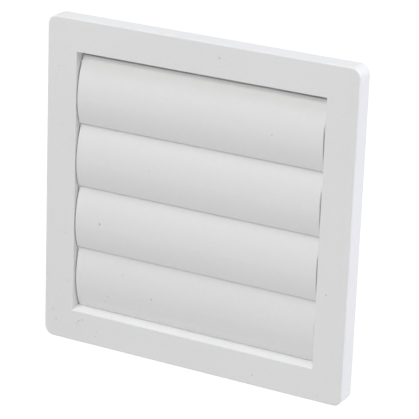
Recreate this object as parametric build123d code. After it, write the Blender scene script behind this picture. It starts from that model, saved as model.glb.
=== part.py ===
from build123d import *
from math import asin, cos, degrees, hypot, radians, sin, sqrt
import os

# Gravity louvre grille for a 100 mm extract duct, in millimetres.
# The front faces -Y and +Z is up. The origin is on the duct's axis, in the plane of the rear rim,
# which is the face of the wall that the grille is fixed to.

# Frame
opening = 120.5            # square hole that the flaps close
bezel_width = 14.75        # flat face around the hole
corner_radius = 4.4        # outer corners, seen from the front
plate_thickness = 2.0      # front wall of the hollow frame
skirt_thickness = 2.0      # outer side wall
box_wall = 2.0             # inner wall around the flaps
web_thickness = 1.2        # back wall between the box and the spigot
outer_edge_round = 0.7     # front edge of the outer sides
inner_edge_round = 0.4     # front edge of the hole
rib_thickness = 1.2        # stiffening ribs in the hollow back
rib_setback = 0.8          # ribs stop this far short of the rear rim
ribs_per_side = 4

# Spigot
spigot_diameter = 98.4     # slides into a 100 mm duct
spigot_wall = 2.0
spigot_length = 35.0       # behind the rear rim
spigot_lead_in = 1.0       # chamfer on the free end

# Flaps
flap_count = 4
flap_thickness = 1.3
flap_end_gap = 0.45        # flap to box wall, each end
upper_bow_radius = 43.0    # front face above the crown
crown_share = 0.56         # foremost line below the pivot, as a share of the pitch
crown_setback = 0.15       # foremost line behind the bezel's face
tail_rise = 3.25           # pivot up to the flap's top edge
top_offset = 5.1           # top of the hole down to the first pivot
sill_gap = 1.25            # lowest lip to the sill
lip_lift = 1.25            # lip above the next pivot, so that each flap opens by itself
bottom_hang = 5.3          # degrees that the bottom flap hangs further in than the others
tail_round = 0.45          # front of the top edge
lip_round = 0.25           # lower edge
end_round = 0.45           # front edge of each end

# Pivots
pin_radius = 0.6
pin_setback = 0.25         # pivot behind the middle of the flap's thickness
pin_clearance = 0.06       # radial
pin_grip = 1.9             # length of pin in the wall

# Sill: a low step under the bottom lip, and a stop behind it
stop_height = 3.0

# Clearances
lip_clearance = 0.1        # lip's front ahead of the next flap's face, over the flap's thickness
tail_clearance = 0.2       # swinging tail to the back web
step_clearance = 0.15      # swinging bottom lip to the sill's step
stop_gap = 0.25            # resting bottom lip to the stop

# Worked out from the sizes above
frame_width = opening + 2 * bezel_width
box_width = opening + 2 * box_wall
flap_width = opening - 2 * flap_end_gap
pitch = (opening - top_offset - sill_gap + lip_lift) / flap_count
lip_drop = pitch - lip_lift
crown_drop = crown_share * pitch

# Flap section about its pivot: x to the front, y up
middle_radius = upper_bow_radius - flap_thickness / 2
upper_centre_x = pin_setback - sqrt(middle_radius ** 2 - crown_drop ** 2)
crown_x = upper_centre_x + upper_bow_radius
tail_angle = degrees(asin((tail_rise + crown_drop) / upper_bow_radius))
pivot_depth = crown_setback + crown_x

# The lower bow runs from the crown to a lip that stands just clear of the next flap's face
next_face_x = upper_centre_x + sqrt(upper_bow_radius ** 2 - (crown_drop + lip_lift) ** 2)
lip_fall = lip_drop - crown_drop
lip_sweep = crown_x - next_face_x - flap_thickness - lip_clearance
lower_bow_radius = (lip_fall ** 2 + lip_sweep ** 2) / (2 * lip_sweep)
lip_angle = degrees(asin(lip_fall / lower_bow_radius))


def on_arc(centre, radius, angle):
    """Point of the flap section on an arc, the angle in degrees up from the front."""
    return (
        centre[0] + radius * cos(radians(angle)),
        centre[1] + radius * sin(radians(angle)),
    )


upper_centre = (upper_centre_x, -crown_drop)
lower_centre = (crown_x - lower_bow_radius, -crown_drop)
upper_back_radius = upper_bow_radius - flap_thickness
lower_back_radius = lower_bow_radius - flap_thickness
tail_front = on_arc(upper_centre, upper_bow_radius, tail_angle)
tail_back = on_arc(upper_centre, upper_back_radius, tail_angle)
lip_front = on_arc(lower_centre, lower_bow_radius, -lip_angle)
lip_back = on_arc(lower_centre, lower_back_radius, -lip_angle)

# The tail sweeps an arc behind the pivot, and the web stands just clear of it
tail_reach = max(hypot(*tail_front), hypot(*tail_back))
web_front = pivot_depth + tail_reach + tail_clearance
frame_depth = web_front + web_thickness
pivot_y = pivot_depth - frame_depth
first_pivot_z = opening / 2 - top_offset


def slab(outline, start, end):
    """Outline drawn on the front face, made solid between two depths behind that face."""
    face = Plane.XZ.offset(frame_depth - start) * outline
    return extrude(face, amount=start - end)


def flap():
    """One bowed flap with its stub pins, its pivot axis on the X axis."""
    outline = Wire([
        CenterArc(upper_centre, upper_bow_radius, 0, tail_angle),
        Line(tail_front, tail_back),
        CenterArc(upper_centre, upper_back_radius, 0, tail_angle),
        CenterArc(lower_centre, lower_back_radius, -lip_angle, lip_angle),
        Line(lip_back, lip_front),
        CenterArc(lower_centre, lower_bow_radius, -lip_angle, lip_angle),
    ])
    side = Plane(origin=(flap_width / 2, 0, 0), x_dir=(0, -1, 0), z_dir=(-1, 0, 0))
    body = extrude(side * Face(outline), amount=flap_width)
    bows = (upper_bow_radius, lower_bow_radius)
    arcs = body.edges().filter_by(GeomType.CIRCLE)
    body = fillet([arc for arc in arcs if any(abs(arc.radius - bow) < 0.001 for bow in bows)], end_round)
    body = fillet(body.edges().filter_by(Axis.X).sort_by(Axis.Z)[-1], tail_round)
    body = fillet(body.edges().filter_by(Axis.X).sort_by(Axis.Z)[:2], lip_round)
    pin_length = flap_end_gap + pin_grip
    for end in (-1, 1):
        pin_x = end * (flap_width + pin_length) / 2
        body += Pos(pin_x, 0, 0) * Rot(0, 90, 0) * Cylinder(pin_radius, pin_length)
    return body


def hung_depth(point):
    """Depth of a point of the bottom flap's section, as that flap hangs."""
    hang = radians(bottom_hang)
    return pivot_depth - point[0] * cos(hang) - point[1] * sin(hang)


def sill_bar(height, start):
    """Bar across the sill, from a depth behind the front face back to the web."""
    outline = Pos(0, (height - opening) / 2) * Rectangle(opening, height)
    return slab(outline, start, web_front)


def frame():
    """Hollow bezel, louvre box, back web and spigot, moulded in one."""
    outside = RectangleRounded(frame_width, frame_width, corner_radius)
    inside_width = frame_width - 2 * skirt_thickness
    inside = RectangleRounded(inside_width, inside_width, corner_radius - skirt_thickness)
    hole = Rectangle(opening, opening)

    body = slab(outside, 0, frame_depth) - slab(inside, plate_thickness, frame_depth)
    front = body.faces().sort_by(Axis.Y)[0]
    body = fillet(front.edges(), outer_edge_round)
    body += slab(Rectangle(box_width, box_width), plate_thickness, frame_depth)
    body -= slab(hole, 0, web_front)
    front = body.faces().sort_by(Axis.Y)[0]
    body = fillet(front.inner_wires()[0].edges(), inner_edge_round)

    channel_middle = (box_width + inside_width) / 4
    channel_width = (inside_width - box_width) / 2
    rib_spacing = box_width / ribs_per_side
    for turn in range(4):
        for i in range(ribs_per_side):
            along = (i - (ribs_per_side - 1) / 2) * rib_spacing
            rib = Rot(0, 0, 90 * turn) * Pos(along, channel_middle) * Rectangle(rib_thickness, channel_width)
            body += slab(rib, plate_thickness, frame_depth - rib_setback)

    spigot_radius = spigot_diameter / 2
    tube = slab(Circle(spigot_radius), web_front, frame_depth + spigot_length)
    free_end = tube.edges().sort_by(Axis.Y)[-1]
    body += chamfer(free_end, spigot_lead_in)
    body -= slab(Circle(spigot_radius - spigot_wall), web_front, frame_depth + spigot_length)

    step_height = sill_gap + lip_drop - hypot(*lip_front) - step_clearance
    body += sill_bar(step_height, hung_depth(lip_front))
    body += sill_bar(stop_height, hung_depth(lip_back) + stop_gap)

    for i in range(flap_count):
        pivot = Pos(0, pivot_y, first_pivot_z - i * pitch)
        body -= pivot * Rot(0, 90, 0) * Cylinder(pin_radius + pin_clearance, box_width)
    return body


os.makedirs("parts", exist_ok=True)
export_step(frame(), "parts/frame.step")
for number in range(1, flap_count + 1):
    hang = bottom_hang if number == flap_count else 0
    place = Pos(0, pivot_y, first_pivot_z - (number - 1) * pitch) * Rot(hang, 0, 0)
    export_step(place * flap(), f"parts/flap_{number}.step")
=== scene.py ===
import math

import bmesh
import bpy
from mathutils import Matrix, Vector


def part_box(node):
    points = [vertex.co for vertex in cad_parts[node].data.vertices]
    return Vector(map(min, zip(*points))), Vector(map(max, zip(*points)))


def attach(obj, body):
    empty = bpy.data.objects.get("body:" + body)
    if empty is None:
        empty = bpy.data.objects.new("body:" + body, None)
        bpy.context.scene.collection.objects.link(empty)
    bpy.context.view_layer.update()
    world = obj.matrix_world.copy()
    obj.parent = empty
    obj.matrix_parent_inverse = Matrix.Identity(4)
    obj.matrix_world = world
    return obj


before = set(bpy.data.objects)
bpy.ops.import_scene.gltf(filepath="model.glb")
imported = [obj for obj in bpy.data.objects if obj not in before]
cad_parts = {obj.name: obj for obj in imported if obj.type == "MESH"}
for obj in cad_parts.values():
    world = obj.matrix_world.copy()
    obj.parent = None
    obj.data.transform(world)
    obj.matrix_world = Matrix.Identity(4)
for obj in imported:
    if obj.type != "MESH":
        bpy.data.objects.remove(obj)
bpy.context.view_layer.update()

# Frame. One moulding in white styrene: a flat bezel, a hollow skirt, the box that the flaps hang in
# and the round spigot behind. Its tool was spark eroded, which leaves a fine dull grain on the
# plastic, and a little building dust has settled on the bezel, most of it at the lower left.
frame_white = (0.87, 0.87, 0.87, 1.0)
frame_roughness = 0.55
frame_grain_size = 0.0007
frame_grain_depth = 0.000005
frame_mottle = 0.07             # change of tone, as a share of the colour
plastic_ior = 1.5
roughness_spread = 0.05
drift_scale = 18                # slow change of tone, in cycles per metre
drift_detail = 2
grain_detail = 3
grain_share = 0.6               # of the mottle, the rest is drift
dust_colour = (0.12, 0.11, 0.10, 1.0)
dust_ragged_size = 0.0006       # of the ripples in a speck's edge
dust_ragged_reach = 0.0006      # how far the ripples go, in and out together
dust_outer_edge = 1.3           # of the radius, where a speck begins
dust_inner_edge = 0.6           # of the radius, where it is at full strength
millimetre = 0.001
bezel_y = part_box("frame")[0].y
bezel_dust = [
    # across, up, radius (millimetres), strength
    (10, 69, 0.60, 0.20),
    (-35.5, 74, 0.35, 0.18),
    (-57, -65, 0.55, 0.20),
    (-55, -64, 0.50, 0.17),
    (-58, -66.5, 0.50, 0.18),
    (-56.5, -67, 0.40, 0.09),
    (-61.5, -68, 0.40, 0.08),
    (-47.5, -68.5, 0.45, 0.12),
    (-48, -70.5, 0.45, 0.14),
    (-69, -66.5, 0.45, 0.23),
    (-70.5, -62, 0.45, 0.16),
    (-66.5, -61.5, 0.40, 0.06),
    (-73.5, -57, 0.40, 0.09),
    (-69, -55, 0.40, 0.09),
    (-63, -46.5, 0.45, 0.11),
    (32, -70, 0.45, 0.25),
    (63.5, -72, 0.50, 0.11),
    (65, -25.5, 0.45, 0.28),
    (-69, 52.5, 0.45, 0.12),
    (-64.5, -24, 0.40, 0.15),
    (-60.5, -34.5, 0.40, 0.12),
]
sill_dust = (-40.5, 1.3, -60.02, 0.40, 0.15)    # across, behind the bezel, up, radius, strength


def speck(across, depth, up, radius, strength):
    """Speck of dust in metres, from millimetres. Its depth is behind the bezel's face."""
    centre = (across * millimetre, bezel_y + depth * millimetre, up * millimetre)
    return centre, radius * millimetre, strength


def moulded_white(name, colour, roughness, grain_size, grain_depth, mottle, dust):
    """Moulded plastic: a slow drift of tone, a fine grain, and ragged specks of dust."""
    material = bpy.data.materials.new(name)
    material.use_nodes = True
    nodes = material.node_tree.nodes
    link = material.node_tree.links.new
    shader = nodes["Principled BSDF"]
    shader.inputs["IOR"].default_value = plastic_ior
    place = nodes.new("ShaderNodeTexCoord").outputs["Object"]

    drift = nodes.new("ShaderNodeTexNoise")
    drift.inputs["Scale"].default_value = drift_scale
    drift.inputs["Detail"].default_value = drift_detail
    link(place, drift.inputs["Vector"])
    shine = nodes.new("ShaderNodeMapRange")
    shine.inputs["To Min"].default_value = roughness - roughness_spread
    shine.inputs["To Max"].default_value = roughness + roughness_spread
    link(drift.outputs["Fac"], shine.inputs["Value"])
    link(shine.outputs["Result"], shader.inputs["Roughness"])

    grain = nodes.new("ShaderNodeTexNoise")
    grain.inputs["Scale"].default_value = 1 / grain_size
    grain.inputs["Detail"].default_value = grain_detail
    link(place, grain.inputs["Vector"])
    bump = nodes.new("ShaderNodeBump")
    bump.inputs["Strength"].default_value = 1.0
    bump.inputs["Distance"].default_value = grain_depth
    link(grain.outputs["Fac"], bump.inputs["Height"])
    link(bump.outputs["Normal"], shader.inputs["Normal"])

    blotches = nodes.new("ShaderNodeMix")
    blotches.inputs["Factor"].default_value = grain_share
    link(drift.outputs["Fac"], blotches.inputs["A"])
    link(grain.outputs["Fac"], blotches.inputs["B"])
    tone = nodes.new("ShaderNodeMix")
    tone.data_type = "RGBA"
    tone.inputs["A"].default_value = [(1 - mottle) * part for part in colour[:3]] + [1.0]
    tone.inputs["B"].default_value = [(1 + mottle) * part for part in colour[:3]] + [1.0]
    link(blotches.outputs["Result"], tone.inputs["Factor"])
    painted = tone.outputs["Result"]

    ragged = nodes.new("ShaderNodeTexNoise")
    ragged.inputs["Scale"].default_value = 1 / dust_ragged_size
    link(place, ragged.inputs["Vector"])
    centred = nodes.new("ShaderNodeVectorMath")
    centred.operation = "SUBTRACT"
    centred.inputs[1].default_value = (0.5, 0.5, 0.5)
    link(ragged.outputs["Color"], centred.inputs[0])
    shifted = nodes.new("ShaderNodeVectorMath")
    shifted.operation = "MULTIPLY_ADD"
    shifted.inputs[1].default_value = (dust_ragged_reach, dust_ragged_reach, dust_ragged_reach)
    link(centred.outputs["Vector"], shifted.inputs[0])
    link(place, shifted.inputs[2])
    for centre, radius, strength in dust:
        reach = nodes.new("ShaderNodeVectorMath")
        reach.operation = "DISTANCE"
        reach.inputs[1].default_value = centre
        link(shifted.outputs["Vector"], reach.inputs[0])
        cover = nodes.new("ShaderNodeMapRange")
        cover.interpolation_type = "SMOOTHSTEP"
        cover.inputs["From Min"].default_value = radius * dust_outer_edge
        cover.inputs["From Max"].default_value = radius * dust_inner_edge
        cover.inputs["To Max"].default_value = strength
        link(reach.outputs["Value"], cover.inputs["Value"])
        dusted = nodes.new("ShaderNodeMix")
        dusted.data_type = "RGBA"
        dusted.inputs["B"].default_value = dust_colour
        link(cover.outputs["Result"], dusted.inputs["Factor"])
        link(painted, dusted.inputs["A"])
        painted = dusted.outputs["Result"]
    link(painted, shader.inputs["Base Color"])
    return material


def finish_node(node, material):
    """A moulding keeps its shape and takes its finish."""
    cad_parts[node].material_slots[0].material = material


frame_dust = [speck(across, 0, up, radius, strength) for across, up, radius, strength in bezel_dust]
frame_dust.append(speck(*sill_dust))
frame_finish = moulded_white(
    "frame_white", frame_white, frame_roughness, frame_grain_size, frame_grain_depth, frame_mottle,
    frame_dust)
finish_node("frame", frame_finish)

# Sill slope. The bottom of the hole falls towards the front, so that rain runs off it. It is part of
# the frame's moulding. It starts behind the hole's rounded front edge, covers the low step under the
# bottom flap and ends at the stop, just clear of that flap's lip.
half_opening = 0.06025
edge_round = 0.0004
step_depth = 0.004988           # behind the bezel's face
step_height = 0.00104           # above the flat sill
stop_depth = 0.006387
slope_clearance = 0.00011
sill_z = -half_opening
toe_y = bezel_y + edge_round
step_y = bezel_y + step_depth
step_z = sill_z + step_height
stop_y = bezel_y + stop_depth
crest_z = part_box("flap_4")[0].z - slope_clearance
slope_section = [
    (toe_y, sill_z),
    (step_y, sill_z),
    (step_y, step_z),
    (stop_y, step_z),
    (stop_y, crest_z),
    (step_y, crest_z),
]
slope_mesh = bpy.data.meshes.new("sill_slope")
wedge = bmesh.new()
wedge_end = wedge.faces.new([wedge.verts.new((-half_opening, y, z)) for y, z in slope_section])
drawn = bmesh.ops.extrude_face_region(wedge, geom=[wedge_end])
far_corners = [part for part in drawn["geom"] if isinstance(part, bmesh.types.BMVert)]
bmesh.ops.translate(wedge, verts=far_corners, vec=(2 * half_opening, 0, 0))
bmesh.ops.recalc_face_normals(wedge, faces=wedge.faces)
wedge.to_mesh(slope_mesh)
wedge.free()
slope_mesh.materials.append(frame_finish)
sill_slope = bpy.data.objects.new("sill_slope", slope_mesh)
bpy.context.scene.collection.objects.link(sill_slope)
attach(sill_slope, "frame")

# Flaps. Four equal white mouldings, thin and bowed, from a polished tool, so smoother than the frame.
# Each snaps by its two stub pins into the frame's side walls and rests on the one below, and the
# bottom one rests against the sill's stop.
flap_white = (0.85, 0.85, 0.85, 1.0)
flap_roughness = 0.42
flap_grain_size = 0.002
flap_grain_depth = 0.000006
flap_mottle = 0.035
flap_dust = {
    # across, behind the bezel, up, radius (millimetres), strength
    "flap_1": [(36, 0.2, 40, 0.45, 0.22), (-15.5, 0.8, 46.5, 0.40, 0.10),
               (-4, 0.2, 42, 0.40, 0.10)],
    "flap_2": [(-22.5, 0.3, 13, 0.40, 0.18)],
    "flap_3": [(-47, 0.2, -16.5, 0.55, 0.42), (11, 0.5, -13.5, 0.40, 0.08)],
    "flap_4": [(-20.5, 1.6, -47, 0.45, 0.32), (-43, 2.1, -51, 0.50, 0.13),
               (-45, 2.9, -54, 0.45, 0.13), (-35.5, 1.8, -38.5, 0.40, 0.15)],
}
for flap, places in flap_dust.items():
    finish_node(flap, moulded_white(
        flap + "_white", flap_white, flap_roughness, flap_grain_size, flap_grain_depth, flap_mottle,
        [speck(*place) for place in places]))

# Stage. A plain pale floor well below the grille, which is made to hang on a wall. It looks white to
# the camera and keeps a faint shadow.
floor_z = -1.2
floor_reach = 8.0
floor_colour = (0.8, 0.8, 0.8, 1.0)
floor_roughness = 0.9
glow_strength = 1.15
glow_share = 0.85               # the rest of what the camera sees is the lit floor
floor_mesh = bpy.data.meshes.new("floor")
sheet = bmesh.new()
bmesh.ops.create_grid(sheet, x_segments=1, y_segments=1, size=floor_reach)
bmesh.ops.translate(sheet, verts=sheet.verts, vec=(0, 0, floor_z))
sheet.to_mesh(floor_mesh)
sheet.free()
floor = bpy.data.objects.new("floor", floor_mesh)
bpy.context.scene.collection.objects.link(floor)


def seen_rays(nodes, link):
    """One for rays that show the background: from the camera, by reflection or through glass."""
    path = nodes.new("ShaderNodeLightPath")
    seen = path.outputs["Is Camera Ray"]
    for kind in ("Is Glossy Ray", "Is Transmission Ray"):
        either = nodes.new("ShaderNodeMath")
        either.operation = "MAXIMUM"
        link(seen, either.inputs[0])
        link(path.outputs[kind], either.inputs[1])
        seen = either.outputs["Value"]
    return seen


floor_paint = bpy.data.materials.new("floor_paint")
floor_paint.use_nodes = True
floor_nodes = floor_paint.node_tree.nodes
floor_link = floor_paint.node_tree.links.new
floor_shader = floor_nodes["Principled BSDF"]
floor_shader.inputs["Base Color"].default_value = floor_colour
floor_shader.inputs["Roughness"].default_value = floor_roughness
glow = floor_nodes.new("ShaderNodeEmission")
glow.inputs["Strength"].default_value = glow_strength
share = floor_nodes.new("ShaderNodeMath")
share.operation = "MULTIPLY"
share.inputs[1].default_value = glow_share
floor_link(seen_rays(floor_nodes, floor_link), share.inputs[0])
white = floor_nodes.new("ShaderNodeMixShader")
floor_link(share.outputs["Value"], white.inputs["Fac"])
floor_link(floor_shader.outputs["BSDF"], white.inputs[1])
floor_link(glow.outputs["Emission"], white.inputs[2])
floor_link(white.outputs["Shader"], floor_nodes["Material Output"].inputs["Surface"])
floor_mesh.materials.append(floor_paint)

# Light. A small key lamp in front and above draws the frame's shadow on the top flap, and a soft one
# at the front left fills the bezel. Cool lamps overhead and on the right brighten the sill and the
# outer sides, a weak one the lower right. The room adds an even light.
room_strength = 0.4
room_colour = (1.0, 0.99, 0.99, 1.0)
backdrop_white = (1.0, 1.0, 1.0, 1.0)
lamps = [
    # name, place (metres), width, watts, colour
    ("key", (0.0, -1.1, 1.05), 0.12, 3.6, (1.0, 0.995, 0.965)),
    ("left_front", (-0.5, -1.2, 0.8), 0.6, 4.0, (1.0, 0.995, 0.965)),
    ("overhead", (0.1, -0.4, 1.6), 0.6, 7.4, (0.87, 0.91, 1.0)),
    ("right_side", (1.4, -0.05, 0.3), 0.8, 2.0, (0.90, 0.915, 1.0)),
    ("right_back", (1.4, 0.4, 0.3), 0.8, 10.0, (0.90, 0.915, 1.0)),
    ("low_right", (0.15, -0.27, -0.29), 0.2, 0.13, (0.95, 0.96, 1.0)),
]
for name, place, width, watts, colour in lamps:
    lamp = bpy.data.lights.new(name, "AREA")
    lamp.size = width
    lamp.energy = watts
    lamp.color = colour
    holder = bpy.data.objects.new(name, lamp)
    holder.location = place
    holder.rotation_euler = (-Vector(place)).to_track_quat("-Z", "Y").to_euler()
    bpy.context.scene.collection.objects.link(holder)

room = bpy.data.worlds.new("room")
bpy.context.scene.world = room
room.use_nodes = True
room_nodes = room.node_tree.nodes
room_link = room.node_tree.links.new
room_light = room_nodes["Background"]
room_light.inputs["Color"].default_value = room_colour
room_light.inputs["Strength"].default_value = room_strength
backdrop = room_nodes.new("ShaderNodeBackground")
backdrop.inputs["Color"].default_value = backdrop_white
backdrop.inputs["Strength"].default_value = 1.0
either_light = room_nodes.new("ShaderNodeMixShader")
room_link(seen_rays(room_nodes, room_link), either_light.inputs["Fac"])
room_link(room_light.outputs["Background"], either_light.inputs[1])
room_link(backdrop.outputs["Background"], either_light.inputs[2])
room_link(either_light.outputs["Shader"], room_nodes["World Output"].inputs["Surface"])

# Camera. Where the photograph was taken from: in front, to the right and above, with a long lens
# and a slight roll.
camera_place = Vector((0.4287, -0.79859, 0.31535))
camera_target = Vector((0.00789, -0.00895, 0.00145))
camera_roll = math.radians(2.14)
sensor_width = 36.0
focal_length = 190.0
lens = bpy.data.cameras.new("camera")
lens.sensor_width = sensor_width
lens.lens = focal_length
camera = bpy.data.objects.new("camera", lens)
aim = (camera_target - camera_place).to_track_quat("-Z", "Y").to_matrix().to_4x4()
camera.matrix_world = Matrix.Translation(camera_place) @ aim @ Matrix.Rotation(camera_roll, 4, "Z")
bpy.context.scene.collection.objects.link(camera)
bpy.context.scene.camera = camera
bpy.context.scene.view_settings.view_transform = "Standard"
